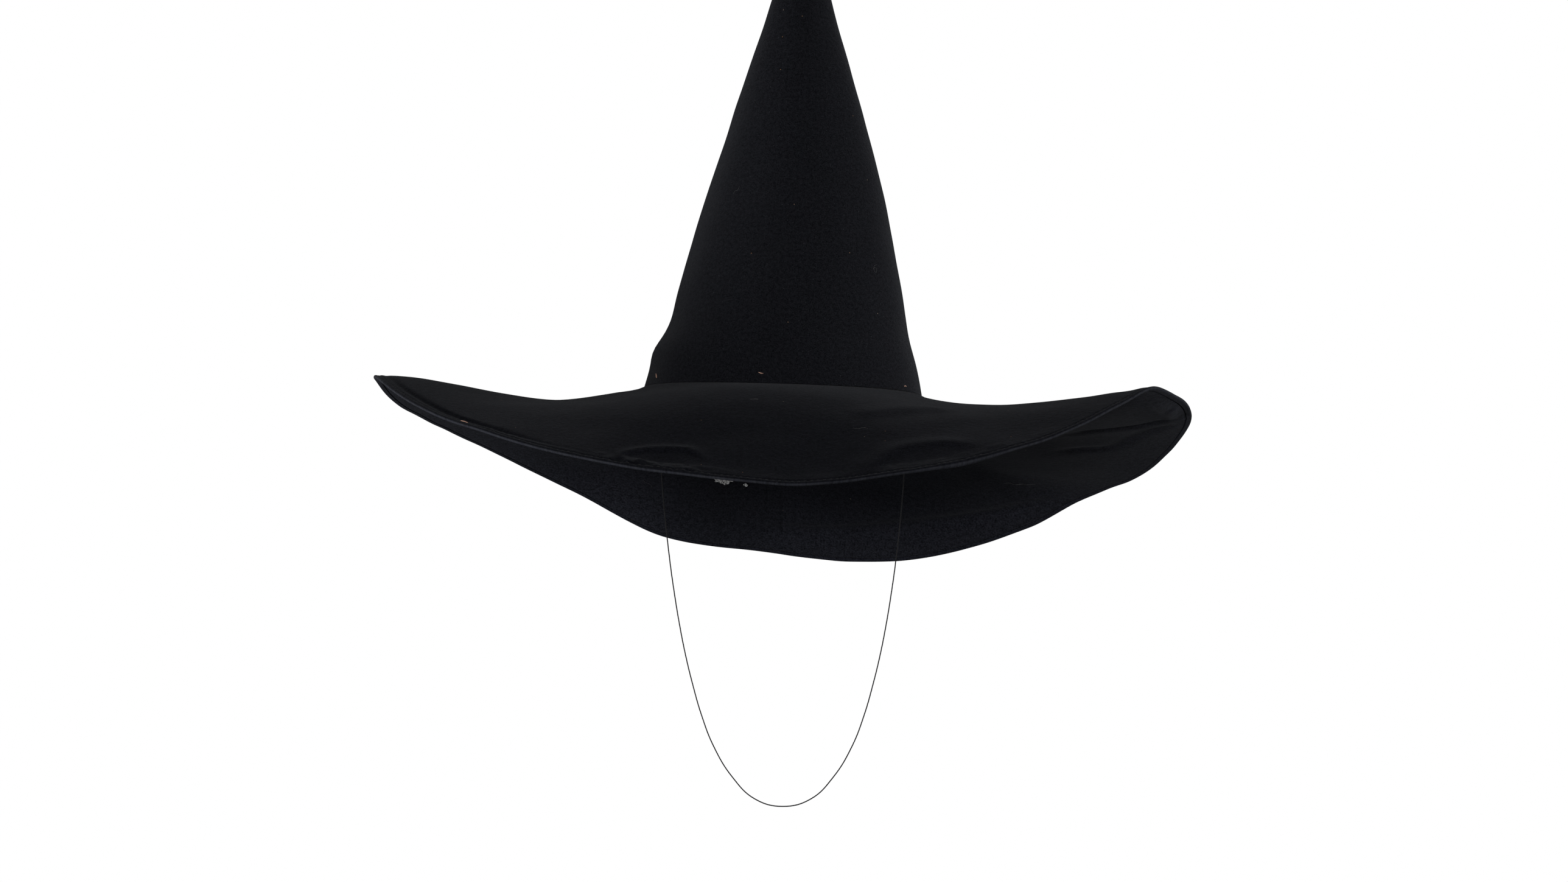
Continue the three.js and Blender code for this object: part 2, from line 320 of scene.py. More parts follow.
def place_on_brim(radius, above, degrees):
    """A point of the brim at a radius on the flat ring and a distance above its middle layer."""
    phi = np.radians(degrees)
    s = np.maximum((radius - FOOT_RADIUS) / BRIM_WIDTH, 0)
    flange = np.minimum(radius - FOOT_RADIUS, 0)
    fall = np.radians(brim_slope(degrees))
    bow = 4 * (BOW_MEAN + BOW_SIDE * np.cos(phi) + BOW_SADDLE * np.cos(2 * phi))
    inward = BOW_INWARD + BOW_INWARD_SIDE * np.cos(phi)
    side = 1 - 2 * s
    rise = bow * s * (1 - s) * (1 + inward * side)
    steepness = bow * (side * (1 + inward * side) - 2 * inward * s * (1 - s)) / BRIM_WIDTH
    tilt = (fall + np.arctan(steepness)) * np.minimum(s * 10, 1)
    out = FOOT_RADIUS + flange + s * BRIM_WIDTH * np.cos(fall) - rise * np.sin(fall)
    up = foot_height(phi) + s * BRIM_WIDTH * np.sin(fall) + rise * np.cos(fall)
    reach = out - above * np.sin(tilt)
    return np.stack([reach * np.cos(phi), reach * np.sin(phi), up + above * np.cos(tilt)], axis=-1)


def place_on_relief(radius, above, degrees):
    width = radius - FOOT_RADIUS
    return place_on_brim(radius, above + brim_relief(degrees, np.clip(width, 0, BRIM_WIDTH)), degrees)


def crown_relief(degrees, z):
    """How far the crown's cloth stands out from its even cone."""
    left = near(degrees, LEFT, 55)
    flank = 2 * bump(z, 27 * MM, 9 * MM) - 2 * bump(z, 50 * MM, 14 * MM)
    phi = np.radians(degrees)
    radius = crown_radius(z)
    place = np.stack([radius * np.cos(phi), radius * np.sin(phi), z], axis=-1)
    slack = smoothstep(z, 4 * MM, 40 * MM) * smoothstep(-z, -TIP_HEIGHT, -TIP_HEIGHT + 60 * MM)
    return left * flank * MM + slack * (
        noise_at(place, 70 * MM, 5.3) * 1.5 * MM + noise_at(place, 26 * MM, 1.9) * 0.4 * MM
    )


def place_on_crown(radius, z, degrees):
    """A point of the crown wall: the cone leans to the right as it rises, on a tilted foot."""
    phi = np.radians(degrees)
    height = np.maximum(z, 0)
    lean = height * (LEAN_PER_HEIGHT - LEAN_EASE * height)
    settle = 1 - smoothstep(z, 0, SETTLED_HEIGHT)
    up = z + foot_height(phi) * settle
    return np.stack([lean + radius * np.cos(phi), radius * np.sin(phi), up + 0 * phi], axis=-1)


# Meshes


def new_object(name, data):
    made = bpy.data.objects.new(name, data)
    bpy.context.scene.collection.objects.link(made)
    return made


def build_object(name, points, faces, uv=None):
    mesh = bpy.data.meshes.new(name)
    mesh.from_pydata(points.reshape(-1, 3).tolist(), [], faces)
    if uv is not None:
        corners = np.zeros(len(mesh.loops), int)
        mesh.loops.foreach_get("vertex_index", corners)
        layer = mesh.uv_layers.new(name="cut")
        layer.data.foreach_set("uv", uv.reshape(-1, 2)[corners].ravel())
    mesh.polygons.foreach_set("use_smooth", np.ones(len(mesh.polygons), bool))
    mesh.validate()
    if len(faces) > 1:
        shape = bmesh.new()
        shape.from_mesh(mesh)
        bmesh.ops.recalc_face_normals(shape, faces=shape.faces)
        shape.to_mesh(mesh)
        shape.free()
    return new_object(name, mesh)


def grid_faces(rows, columns, close_rows, close_columns, start=0):
    """Quads between the points of a grid, which may close on itself either way."""
    i, j = np.meshgrid(
        np.arange(rows if close_rows else rows - 1),
        np.arange(columns if close_columns else columns - 1),
        indexing="ij",
    )
    down, right = (i + 1) % rows, (j + 1) % columns
    corners = [i * columns + j, down * columns + j, down * columns + right, i * columns + right]
    return (np.stack(corners, axis=-1).reshape(-1, 4) + start).tolist()


def full_circle(count):
    return np.arange(count) * 360 / count


def ring_cut(degrees, radius):
    """The brim's cloth is cut as a flat ring, and its weave runs straight across it."""
    phi = np.radians(degrees)
    return np.stack([radius * np.cos(phi), radius * np.sin(phi)], axis=-1)


def cone_cut(degrees, height):
    """The crown's cloth is cut as a sector of a circle, with its edges at the back."""
    slant = np.hypot(crown_radius(height), TIP_HEIGHT - height)
    share = FOOT_RADIUS / math.hypot(FOOT_RADIUS, TIP_HEIGHT)
    angle = np.radians(angle_from(degrees, FRONT)) * share
    return np.stack([slant * np.sin(angle), slant * np.cos(angle)], axis=-1)


def tube(line, radius, sides, closed=False):
    """A round tube along a line of points; its ends are closed flat."""
    line = np.array(line, float)
    if closed:
        ahead = np.roll(line, -1, axis=0) - np.roll(line, 1, axis=0)
    else:
        ahead = np.gradient(line, axis=0)
    ahead /= np.linalg.norm(ahead, axis=1)[:, None]
    normal = np.zeros_like(line)
    normal[0] = np.cross(ahead[0], (0.31, 0.22, 0.93))
    normal[0] /= np.linalg.norm(normal[0])
    for i in range(1, len(line)):
        turned = normal[i - 1] - ahead[i] * (normal[i - 1] @ ahead[i])
        normal[i] = turned / np.linalg.norm(turned)
    binormal = np.cross(ahead, normal)
    angle = np.arange(sides) * TURN / sides
    thick = np.broadcast_to(np.asarray(radius, float), (len(line),))[:, None, None]
    ring = normal[:, None] * np.cos(angle)[None, :, None] + binormal[:, None] * np.sin(angle)[None, :, None]
    points = line[:, None] + ring * thick
    faces = grid_faces(len(line), sides, closed, True)
    if not closed:
        last = (len(line) - 1) * sides
        faces += [list(range(sides))[::-1], [last + i for i in range(sides)]]
    return points.reshape(-1, 3), faces


def joined(name, parts):
    """One object from several (points, faces) parts."""
    points, faces, start = [], [], 0
    for part_points, part_faces in parts:
        points.append(part_points)
        faces += [[i + start for i in face] for face in part_faces]
        start += len(part_points)
    return build_object(name, np.concatenate(points), faces)


def finish_piece(piece, slot, material, *nodes, body="hat"):
    piece.data.materials.clear()
    piece.data.materials.append(material)
    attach(piece, body)
    if nodes:
        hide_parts(*nodes)
    return piece


# Materials: dark and light base colours, as linear red, green and blue.

COLORS = {
    "crown_wool": ((0.0005, 0.0006, 0.001), (0.0112, 0.0116, 0.0142)),
    "brim_wool": ((0.0001, 0.0002, 0.0005), (0.007, 0.0074, 0.0102)),
    "under_wool": ((0.0003, 0.0004, 0.0008), (0.0066, 0.0069, 0.009)),
    "lint_specks": ((0.15, 0.13, 0.11), (0.19, 0.09, 0.035)),
    "buckram": ((0.02, 0.02, 0.021), (0.045, 0.045, 0.047)),
    "satin": ((0.005, 0.005, 0.006), (0.01, 0.01, 0.012)),
    "grosgrain": ((0.005, 0.005, 0.0055), (0.016, 0.016, 0.017)),
    "drawn_steel": ((0.14, 0.12, 0.1), (0.36, 0.37, 0.39)),
    "braided_elastic": ((0.003, 0.003, 0.0035), (0.015, 0.015, 0.016)),
    "black_thread": ((0.006, 0.006, 0.007), (0.018, 0.018, 0.02)),
    "pink_thread": ((0.12, 0.07, 0.055), (0.5, 0.3, 0.22)),
    "lint": ((0.02, 0.02, 0.022), (0.07, 0.07, 0.072)),
    "pale_flake": ((0.015, 0.016, 0.017), (0.34, 0.34, 0.34)),
    "floor": ((0.74, 0.74, 0.74), (0.8, 0.8, 0.8)),
}
FINE_SPECK = (0.06, 0.063, 0.07)
# The thin line at the rim's fold and a faint band inside it are a painted highlight.
RIM_HIGHLIGHT_COLOR = (0.021, 0.022, 0.026)
# The hem underneath is painted paler: painted light, like the underside's towards the rim.
HEM_PALER = 2.6
UNDERSIDE_PALER = 2.9
WARP_PITCH = 0.62 * MM
WEFT_PITCH = 0.7 * MM
RIB_COUNT = 560


def add_node(tree, kind, settings=None, **inputs):
    """A shader node with its settings and inputs, where a value is a number, a colour or a socket."""
    made = tree.nodes.new("ShaderNode" + kind)
    for key, value in (settings or {}).items():
        setattr(made, key, value)
    for key, value in inputs.items():
        if key.startswith("input_"):
            socket = made.inputs[int(key[6:])]
        else:
            socket = made.inputs[key.replace("_", " ")]
        if isinstance(value, bpy.types.NodeSocket):
            tree.links.new(value, socket)
        else:
            socket.default_value = value
    return made


def new_material(name):
    material = bpy.data.materials.new(name)
    material.use_nodes = True
    tree = material.node_tree
    return material, tree, tree.nodes["Principled BSDF"]


def set_inputs(shader, **values):
    for key, value in values.items():
        shader.inputs[key.replace("_", " ")].default_value = value


def object_place(tree):
    return add_node(tree, "TexCoord").outputs["Object"]


def raise_surface(tree, shader, height, strength, distance):
    raised = add_node(tree, "Bump", Strength=strength, Distance=distance, Height=height)
    tree.links.new(raised.outputs[0], shader.inputs["Normal"])


def noise_node(tree, place, scale, detail=2.0, roughness=0.5):
    made = add_node(tree, "TexNoise", Vector=place, Scale=scale, Detail=detail, Roughness=roughness)
    return made.outputs["Fac"]


def calc(tree, operation, *values):
    inputs = {f"input_{i}": value for i, value in enumerate(values)}
    return add_node(tree, "Math", {"operation": operation}, **inputs).outputs[0]


def times(tree, value, factor):
    return calc(tree, "MULTIPLY", value, factor)


def weighted(tree, *parts):
    """The sum of values, each times its weight."""
    total = 0.0
    for value, weight in parts:
        total = calc(tree, "ADD", times(tree, value, weight), total)
    return total


def ramp_value(tree, value, low, high, out_low=0.0, out_high=1.0):
    made = add_node(tree, "MapRange", Value=value, From_Min=low, From_Max=high)
    set_inputs(made, To_Min=out_low, To_Max=out_high)
    return made.outputs[0]


def mix_color(tree, share, first, second):
    made = add_node(tree, "Mix", {"data_type": "RGBA"})
    for socket, value in ((0, share), (6, first), (7, second)):
        if isinstance(value, bpy.types.NodeSocket):
            tree.links.new(value, made.inputs[socket])
        else:
            made.inputs[socket].default_value = (*value, 1)
    return made.outputs[2]


def ripple(tree, value, per_unit):
    return calc(tree, "SINE", times(tree, value, per_unit))


def set_surface(tree, shader, color, roughness, specular=0.5):
    tree.links.new(color, shader.inputs["Base Color"])
    tree.links.new(roughness, shader.inputs["Roughness"])
    set_inputs(shader, Specular_IOR_Level=specular)


def specks(tree, place, per_metre, size, share):
    """Scattered specks: 1 in each speck and 0 elsewhere. Only that share of the cells has one."""
    flat = {"voronoi_dimensions": "2D"}
    cell = add_node(tree, "TexVoronoi", flat, Vector=place, Scale=per_metre, Randomness=1.0)
    chosen = add_node(tree, "SeparateColor", Color=cell.outputs["Color"])
    near = ramp_value(tree, cell.outputs["Distance"], size * per_metre, 0.4 * size * per_metre)
    picked = calc(tree, "LESS_THAN", chosen.outputs[0], share)
    return times(tree, near, picked), chosen.outputs[1]


def wool(name, sheen, grain_size, paler=None, puckers=None):
    """Black wool cloth: a fine weave under a short nap, mottling, lint, and paler parts that are painted
    light.
    """
    material, tree, shader = new_material(name)
    dark, light = COLORS[name]
    place = add_node(tree, "UVMap", {"uv_map": "cut"}).outputs[0]
    grain = ramp_value(tree, noise_node(tree, place, 0.9 / grain_size, 2, 0.6), 0.36, 0.64)
    coarse = ramp_value(tree, noise_node(tree, place, 0.32 / grain_size, 2, 0.6), 0.36, 0.64)
    mottle = noise_node(tree, place, 60, 3, 0.6)
    cloud = noise_node(tree, place, 9, 2, 0.5)
    split = add_node(tree, "SeparateXYZ", Vector=place)
    warp = ripple(tree, split.outputs[0], TURN / WARP_PITCH)
    weft = ripple(tree, split.outputs[1], TURN / WEFT_PITCH)
    weave = times(tree, warp, weft)
    tone = weighted(tree, (grain, 0.5), (coarse, 0.26), (mottle, 0.16), (cloud, 0.08), (weave, 0.06))
    cloth = mix_color(tree, tone, dark, light)
    lint, hue = specks(tree, place, 75, 0.4 * MM, 0.06)
    lint_color = mix_color(tree, hue, *COLORS["lint_specks"])
    dust, _ = specks(tree, place, 260, 0.24 * MM, 0.045)
    cloth = mix_color(tree, times(tree, dust, 0.6), cloth, FINE_SPECK)
    cloth = mix_color(tree, times(tree, lint, 0.8), cloth, lint_color)
    height = weighted(tree, (grain, 0.3), (coarse, 0.35), (weave, 0.12))
    if paler is not None:
        cloth = paler(tree, place, cloth, tone, dark, light)
    if puckers is not None:
        height = calc(tree, "ADD", height, puckers(tree, place))
    set_surface(tree, shader, cloth, ramp_value(tree, grain, 0, 1, 0.86, 1.0), 0.01)
    raise_surface(tree, shader, height, 0.7, 0.35 * MM)
    set_inputs(shader, Sheen_Weight=sheen, Sheen_Roughness=0.4, Sheen_Tint=(0.9, 0.93, 1, 1))
    return material


def inside_rim(tree, place):
    """How far a place on the flat ring is inside the rim, in millimetres."""
    radius = add_node(tree, "VectorMath", {"operation": "LENGTH"}, input_0=place).outputs["Value"]
    return calc(tree, "DIVIDE", calc(tree, "SUBTRACT", FOOT_RADIUS + BRIM_WIDTH, radius), MM)


def pale_rim(tree, place, cloth, tone, dark, light):
    """Painted light: the hem underneath is painted paler than the top, and the fold at the rim is a thin
    painted highlight line paler still.
    """
    # Where the top cloth faces down, as the hem, it is painted paler: painted light that meets the
    # underside's.
    hem = mix_color(tree, tone, dark, [HEM_PALER * part for part in light])
    facing = add_node(tree, "NewGeometry").outputs["Normal"]
    upward = add_node(tree, "SeparateXYZ", Vector=facing).outputs[2]
    cloth = mix_color(tree, ramp_value(tree, upward, 0.2, -0.2), cloth, hem)
    # A painted highlight along the rim's fold and a faint band inside it, broken up by noise.
    patchiness = ramp_value(tree, noise_node(tree, place, 240, 3, 0.6), 0.35, 0.6, 0.35, 1.0)
    inside = inside_rim(tree, place)
    edge = times(tree, ramp_value(tree, inside, 0.3, 0.04), patchiness)
    share = weighted(tree, (edge, 0.7), (ramp_value(tree, inside, 3.4, 0.5), 0.08))
    return mix_color(tree, share, cloth, RIM_HIGHLIGHT_COLOR)


def paler_outside(tree, place, cloth, tone, dark, light):
    """The cloth gets paler towards the rim, to stand in for the light that the outer part catches."""
    pale = mix_color(tree, tone, dark, [UNDERSIDE_PALER * part for part in light])
    inside = inside_rim(tree, place)
    return mix_color(tree, ramp_value(tree, inside, 78, 8), cloth, pale)


def hem_puckers(tree, place):
    """Small radial puckers between the hem's stitches and the rim."""
    direction = add_node(tree, "VectorMath", {"operation": "NORMALIZE"}, input_0=place).outputs[0]
    pucker = noise_node(tree, direction, 62, 2, 0.6)
    inside = ramp_value(tree, inside_rim(tree, place), 12, 4)
    return times(tree, pucker, inside)


def plain_weave(name, pitch, roughness, specular, height):
    """A plain woven cloth with threads of that pitch, in the object's own space."""
    material, tree, shader = new_material(name)
    place = object_place(tree)
    split = add_node(tree, "SeparateXYZ", Vector=place)
    across = calc(tree, "ARCTAN2", split.outputs[1], split.outputs[0])
    threads = FOOT_RADIUS * TURN / pitch
    warp = ripple(tree, across, round(threads))
    weft = ripple(tree, split.outputs[2], TURN / pitch)
    weave = times(tree, warp, weft)
    mottle = noise_node(tree, place, 60, 3)
    share = calc(tree, "ADD", times(tree, weave, 0.35), mottle)
    cloth = mix_color(tree, ramp_value(tree, share, 0.2, 0.9), *COLORS[name])
    rough = ramp_value(tree, mottle, 0.3, 0.7, roughness - 0.06, roughness + 0.06)
    set_surface(tree, shader, cloth, rough, specular)
    raise_surface(tree, shader, weave, 0.6, height)
    return material


def grosgrain():
    """Black grosgrain, with fine upright ribs."""
    material, tree, shader = new_material("grosgrain")
    place = object_place(tree)
    split = add_node(tree, "SeparateXYZ", Vector=place)
    across = calc(tree, "ARCTAN2", split.outputs[1], split.outputs[0])
    rib = ripple(tree, across, RIB_COUNT)
    patchiness = noise_node(tree, place, 45, 4)
    share = calc(tree, "ADD", times(tree, rib, 0.25), patchiness)
    ribbon = mix_color(tree, ramp_value(tree, share, 0.2, 0.9), *COLORS["grosgrain"])
    set_surface(tree, shader, ribbon, ramp_value(tree, patchiness, 0.3, 0.7, 0.55, 0.75), 0.15)
    raise_surface(tree, shader, rib, 0.8, 0.25 * MM)
    return material


def drawn_steel():
    """Spring steel with fine marks and spots of tarnish."""
    material, tree, shader = new_material("drawn_steel")
    place = object_place(tree)
    marks = noise_node(tree, place, 900, 2)
    spots = noise_node(tree, place, 130, 4)
    tarnish, bright = COLORS["drawn_steel"]
    metal = mix_color(tree, ramp_value(tree, spots, 0.45, 0.7), bright, tarnish)
    set_surface(tree, shader, metal, ramp_value(tree, spots, 0.3, 0.7, 0.3, 0.55))
    raise_surface(tree, shader, marks, 0.3, 0.05 * MM)
    set_inputs(shader, Metallic=1)
    return material


def braided_elastic():
    """Thin round elastic: a fine slanting braid over rubber."""
    material, tree, shader = new_material("braided_elastic")
    place = object_place(tree)
    split = add_node(tree, "SeparateXYZ", Vector=place)
    slant = calc(tree, "ADD", split.outputs[2], times(tree, split.outputs[0], 0.6))
    strand = ripple(tree, slant, TURN / (0.9 * MM))
    fuzz = noise_node(tree, place, 1800, 2)
    share = calc(tree, "ADD", times(tree, strand, 0.25), fuzz)
    cover = mix_color(tree, ramp_value(tree, share, 0.2, 0.9), *COLORS["braided_elastic"])
    set_surface(tree, shader, cover, ramp_value(tree, fuzz, 0.3, 0.7, 0.6, 0.85), 0.08)
    raise_surface(tree, shader, strand, 0.6, 0.12 * MM)
    return material


def thread(name):
    """Thread with a fine grain."""
    material, tree, shader = new_material(name)
    place = object_place(tree)
    twist = noise_node(tree, place, 2600, 2)
    color = mix_color(tree, ramp_value(tree, twist, 0.3, 0.7), *COLORS[name])
    set_surface(tree, shader, color, ramp_value(tree, twist, 0.3, 0.7, 0.6, 0.85), 0.2)
    raise_surface(tree, shader, twist, 0.5, 0.05 * MM)
    return material


# The camera and the chin cord


def add_camera():
    data = bpy.data.cameras.new("camera")
    data.lens = LENS
    data.sensor_width = SENSOR_WIDTH
    camera = new_object("camera", data)
    forward = Vector((0, math.cos(CAMERA_RISE), math.sin(CAMERA_RISE)))
    camera.location = CAMERA_TARGET - forward * CAMERA_DISTANCE
    camera.rotation_euler = forward.to_track_quat("-Z", "Y").to_euler()
    bpy.context.scene.camera = camera


def add_chin_cord(material):
    half = [KNOT_END, *CORD_HALF_ROUTE]
    left = [(-x, z) for x, z in half]
    route = [*left, CORD_LOWEST, *half[::-1]]
    data = bpy.data.curves.new("chin_elastic", "CURVE")
    data.dimensions = "3D"
    data.bevel_depth = CORD_RADIUS
    data.bevel_resolution = 3
    data.resolution_u = 8
    data.use_fill_caps = True
    spline = data.splines.new("BEZIER")
    spline.bezier_points.add(len(route) - 1)
    for point, (x, z) in zip(spline.bezier_points, route):
        point.co = (x * MM, 0, z * MM)
        point.handle_left_type = "AUTO"
        point.handle_right_type = "AUTO"
    cord = new_object("chin_elastic", data)
    finish_piece(cord, "elastic", material, "chin_cord", body="chin_cord")


# The crown

CLOTH_FOOT = BRIM_BUCKRAM / 2 + GAP + TOP_CLOTH + GAP
FOOT_DROP = 0.27 * MM
RESTING_FOOT = CLOTH_FOOT - FOOT_DROP
FOUNDATION_DEPTH = CROWN_CLOTH + GAP
LINING_DEPTH = FOUNDATION_DEPTH + CROWN_BUCKRAM + GAP
SWEATBAND_DEPTH = LINING_DEPTH + CROWN_LINING + GAP
HEADLINE_WIRE_RADIUS = 0.6 * MM
HEADLINE_WIRE_HEIGHT = CLOTH_FOOT + HEADLINE_WIRE_RADIUS
FOUNDATION_FOOT = HEADLINE_WIRE_HEIGHT + HEADLINE_WIRE_RADIUS + GAP
FOOT_TURN = 1.3 * MM
FOOT_LIFT = 0.3 * MM
CROWN_SEAM_DEPTH = 0.5 * MM
CROWN_SEAM_SPREAD = 0.9 * MM


def foot_lift(degrees):
    """The crown's foot stands a little off the brim at the front on the right."""
    return FOOT_LIFT * near(degrees, 320, 22)


def crown_shell(name, around, depth, thickness, foot, spacing, seam=0.0, lifted=False):
    """One layer of the crown, between two depths below the outside of the cloth."""
    degrees = full_circle(around)[:, None]
    top = TIP_HEIGHT - depth * TIP_HEIGHT_PER_RADIUS
    shoulder = top - TIP_ROUND
    low = foot + np.array([0.15, 0.5, 1.0, 1.7, 2.7]) * MM
    rows = np.concatenate([low, np.linspace(low[-1] + spacing * 0.6, shoulder, int(0.31 / spacing))])
    inner_top = top - thickness * TIP_HEIGHT_PER_RADIUS
    inner = np.linspace(foot + FOOT_TURN * 0.5, inner_top - TIP_ROUND, 30)[::-1]

    def wall(z, below, turn):
        radius = crown_radius(z) - below + crown_relief(degrees, z + 0 * degrees)
        edge = np.clip(1 - (z - foot) / FOOT_TURN, 0, 1)
        radius = radius - turn * (1 - np.sqrt(1 - edge**2))
        radius = radius - seam * back_seam(degrees, radius, CROWN_SEAM_SPREAD)
        lift = foot_lift(degrees) * (1 - smoothstep(z, foot, foot + 14 * MM)) if lifted else 0
        return place_on_crown(np.maximum(radius, 0.4 * MM), z + lift, degrees + 0 * z)

    outer_wall = wall(rows[None, :], depth, thickness * 0.45)
    inner_wall = wall(inner[None, :], depth + thickness, 0)
    ring = np.concatenate([inner_wall, outer_wall], axis=1)
    heights = np.concatenate([inner, rows])[None, :] + 0 * degrees
    uv = cone_cut(degrees, heights)
    faces = grid_faces(ring.shape[0], ring.shape[1], True, False)
    tip_heights = (inner_top - TIP_ROUND * 0.6, top - TIP_ROUND * 0.45)
    tips = [place_on_crown(0, height, 0.0) for height in tip_heights]
    count = ring.shape[0] * ring.shape[1]
    width = ring.shape[1]
    for i in range(around):
        after = (i + 1) % around
        faces.append([count, after * width, i * width])
        faces.append([count + 1, i * width + width - 1, after * width + width - 1])
    points = np.concatenate([ring.reshape(-1, 3), np.array(tips)])
    flat = np.concatenate([uv.reshape(-1, 2), np.zeros((2, 2))])
    return build_object(name, points, faces, flat)


def headline_wire():
    """The spring wire in the crown's foot."""
    degrees = full_circle(240)
    radius = crown_radius(HEADLINE_WIRE_HEIGHT) - FOUNDATION_DEPTH - HEADLINE_WIRE_RADIUS
    line = place_on_crown(radius, HEADLINE_WIRE_HEIGHT, degrees)
    return joined("headline_wire_ring", [tube(line, HEADLINE_WIRE_RADIUS, 10, closed=True)])


# The brim

RIM_RADIUS = FOOT_RADIUS + BRIM_WIDTH
CLOTH_BOTTOM = BRIM_BUCKRAM / 2 + GAP
CLOTH_TOP = CLOTH_BOTTOM + TOP_CLOTH
FOLD_INSIDE = EDGE_WIRE_RADIUS + GAP
FOLD_OUTSIDE = FOLD_INSIDE + TOP_CLOTH
WIRE_RING = RIM_RADIUS - FOLD_OUTSIDE
HEM_END = RIM_RADIUS - HEM_WIDTH
STITCH_INSET = 3.3 * MM
STITCH_LINE = RIM_RADIUS - STITCH_INSET
PUCKER_STRETCH = np.array([1, 0.6])
FINE_FROM = FOOT_RADIUS + 90 * MM
INNER_SPACING = 6 * MM
OUTER_SPACING = 3.2 * MM
STITCH_GROOVE = 0.45 * MM
LEFT_CREASE = 0.9 * MM
RIGHT_SAG = 1.4 * MM
TOP_SEAM_DEPTH = 0.35 * MM
UNDER_SEAM_DEPTH = 0.4 * MM
BRIM_SEAM_SPREAD = 1.3 * MM


def body_rings():
    """Radii across the brim from the flange to near the hem, alike for every layer, closer outside."""
    inner = np.arange(FOOT_RADIUS, FINE_FROM, INNER_SPACING)
    outer = np.arange(FINE_FROM, HEM_END - 14 * MM, OUTER_SPACING)
    return np.concatenate([[FOOT_RADIUS - FLANGE], inner, outer])


def hem_profile(radius, degrees):
    """How far the top cloth sinks at the hem's stitches, at the crease on the left and into its puckers."""
    inward = RIM_RADIUS - radius
    groove = STITCH_GROOVE * bump(inward, STITCH_INSET, 0.8 * MM)
    crease = LEFT_CREASE * bump(inward, 8.5 * MM, 1.7 * MM) * near(degrees, 213, 20)
    band = smoothstep(-inward, -16 * MM, -10 * MM) * smoothstep(inward, 0.8 * MM, 3 * MM)
    place = ring_cut(degrees, radius)
    lumps = 0.18 + 1.9 * near(degrees, 252, 7) + 0.3 * near(degrees, 292, 12)
    pucker = lumps * MM * (0.4 + noise_at(place * PUCKER_STRETCH, 5 * MM, 2.2))
    seam = TOP_SEAM_DEPTH * back_seam(degrees, radius, BRIM_SEAM_SPREAD)
    return np.maximum(band * pucker - groove - crease - seam, -0.85 * TOP_CLOTH)


def top_cloth():
    """The top cloth runs out over the buckram, folds round the edge wire and turns under as the hem."""
    degrees = full_circle(780)[:, None]
    body = body_rings()
    hem = np.arange(HEM_END - 13 * MM, WIRE_RING, 0.95 * MM)
    across = np.concatenate([body, hem])[None, :]
    over = CLOTH_TOP + hem_profile(across + 0 * degrees, degrees + 0 * across)
    angle = np.linspace(math.pi / 2, -math.pi / 2, 9)[None, 1:-1]
    sag = RIGHT_SAG * near(degrees, 295, 4.5)
    under_rings = np.linspace(WIRE_RING, HEM_END, 5)[None, :]
    hem_sag = sag * smoothstep(under_rings, HEM_END, WIRE_RING)
    under = -CLOTH_TOP - hem_sag
    fold_radius = WIRE_RING + FOLD_OUTSIDE * np.cos(angle)
    fold_level = FOLD_OUTSIDE * np.sin(angle) - sag * (1 - np.sin(angle)) / 2
    back_rings = np.linspace(HEM_END, WIRE_RING, 4)[None, :]
    turn_angle = np.linspace(-math.pi / 2, math.pi / 2, 6)[None, 1:-1]
    inside_rings = np.concatenate([body, hem[:-1:2]])[None, ::-1]
    parts = [
        (across, over),
        (fold_radius, fold_level),
        (under_rings, under),
        (back_rings, -CLOTH_BOTTOM + 0 * back_rings),
        (WIRE_RING + FOLD_INSIDE * np.cos(turn_angle), FOLD_INSIDE * np.sin(turn_angle)),
        (inside_rings, CLOTH_BOTTOM + 0 * inside_rings),
    ]
    radius = np.concatenate([r + 0 * degrees for r, _ in parts], axis=1)
    above = np.concatenate([h + 0 * degrees for _, h in parts], axis=1)
    around = degrees + 0 * radius
    points = place_on_relief(radius, above, around)
    faces = grid_faces(*radius.shape, True, True)
    return build_object("brim_top_wool", points, faces, ring_cut(around, radius))


def flat_layer(name, around, low, high, end, edge_round=0.0):
    """A layer of the brim between two heights, from the flange out to a radius."""
    degrees = full_circle(around)[:, None]
    body = body_rings()
    outside = np.arange(body[-1] + OUTER_SPACING, end - OUTER_SPACING / 2, OUTER_SPACING)
    rings = np.concatenate([body, outside, [end - 2 * edge_round - 0.2 * MM, end]])
    radius = np.concatenate([rings, rings[::-1]])[None, :] + 0 * degrees
    under = np.full(len(rings), low)
    under[-1] += edge_round
    over = np.full(len(rings), high)
    over[-1] -= edge_round
    above = np.concatenate([under, over[::-1]])[None, :] + 0 * degrees
    around_all = degrees + 0 * radius
    if name == "brim_under_wool":
        seam = UNDER_SEAM_DEPTH * back_seam(around_all, radius, BRIM_SEAM_SPREAD)
        above = above + seam * (above < 0)
    points = place_on_relief(radius, above, around_all)
    faces = grid_faces(*radius.shape, True, True)
    return build_object(name, points, faces, ring_cut(around_all, radius))


def edge_wire():
    degrees = np.linspace(BACK + 7.5, BACK + 360, 720)
    line = place_on_relief(WIRE_RING + 0 * degrees, 0 * degrees, degrees)
    return joined("brim_edge_wire_round", [tube(line, EDGE_WIRE_RADIUS, 8)])


def wire_joiner():
    """A crimped sleeve that joins the edge wire's two ends at the back."""
    degrees = np.linspace(BACK + 0.75, BACK + 6.75, 60)
    line = place_on_relief(WIRE_RING + 0 * degrees, 0 * degrees, degrees)
    crimp = 1 - 0.22 * (np.abs(np.sin(np.linspace(0, 3 * math.pi, 60))) < 0.35)
    return joined("edge_wire_sleeve", [tube(line, EDGE_WIRE_RADIUS * 1.35 * crimp, 12)])


